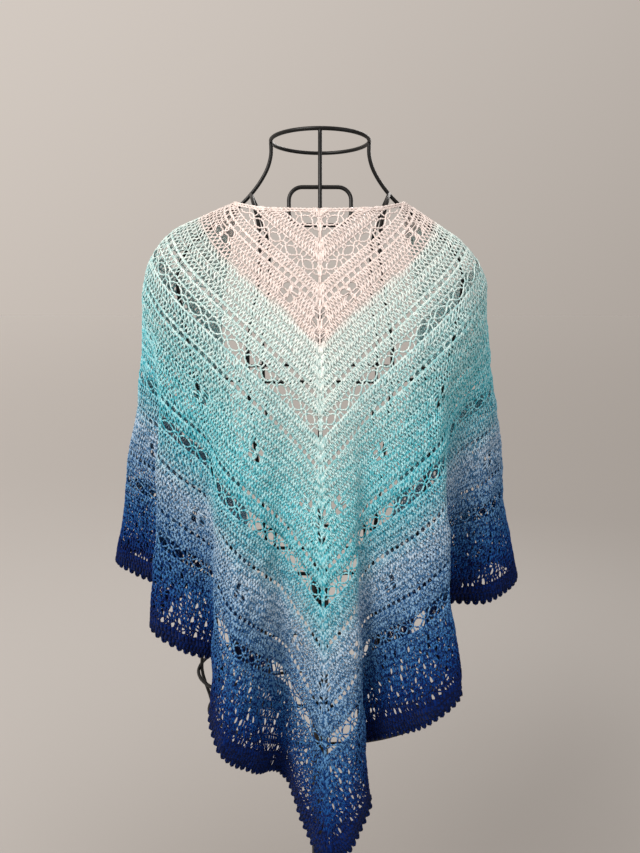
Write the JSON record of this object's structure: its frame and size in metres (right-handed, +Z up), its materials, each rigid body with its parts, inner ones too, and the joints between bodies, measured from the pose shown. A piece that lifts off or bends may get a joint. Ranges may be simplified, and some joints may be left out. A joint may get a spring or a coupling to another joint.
{
  "type": "crocheted triangular shawl on a wire dress form",
  "caption": "Openwork crocheted triangular shawl fading from white through aqua to navy, draped point-down over a limbless black wire dress form on a pole with a round base.",
  "frame": {"origin": "on the floor, at the middle of the base plate's underside, under the pole's axis", "axes": "+Z up; the shawl's point hangs at the -Y side and its open fronts at the +Y side; +X is to the right when looking along +Y"},
  "size_m": [0.5158, 0.32, 1.4998],
  "materials": {
    "crochet_cloth": "soft mercerised cotton yarn in open crochet, fading from warm white through aqua and lavender blue to dark blue",
    "hem_edging": "dense navy cotton crochet edging with small picots",
    "black_wire": "satin black powder-coated steel wire",
    "black_stand": "satin black powder-coated steel tube and plate"
  },
  "bodies": {
    "root": {"shawl_centre": "crochet_cloth", "shawl_left": "crochet_cloth", "shawl_right": "crochet_cloth", "edging_centre": "hem_edging", "edging_left": "hem_edging", "edging_right": "hem_edging", "neck_ring": "black_wire", "neck_loop": "black_wire", "hoop_bust": "black_wire", "hoop_waist": "black_wire", "hoop_hip": "black_wire", "hoop_bottom": "black_wire", "wire_left": "black_wire", "wire_right": "black_wire", "wire_back": "black_wire", "wire_front": "black_wire", "wire_back_left": "black_wire", "wire_back_right": "black_wire", "wire_front_left": "black_wire", "wire_front_right": "black_wire", "collar_waist": "black_stand", "collar_bottom": "black_stand", "spoke_waist_back": "black_wire", "spoke_waist_right": "black_wire", "spoke_waist_front": "black_wire", "spoke_waist_left": "black_wire", "spoke_bottom_back": "black_wire", "spoke_bottom_right": "black_wire", "spoke_bottom_front": "black_wire", "spoke_bottom_left": "black_wire", "pole": "black_stand", "pole_flange": "black_stand", "base_plate": "black_stand"}
  },
  "joints": []
}
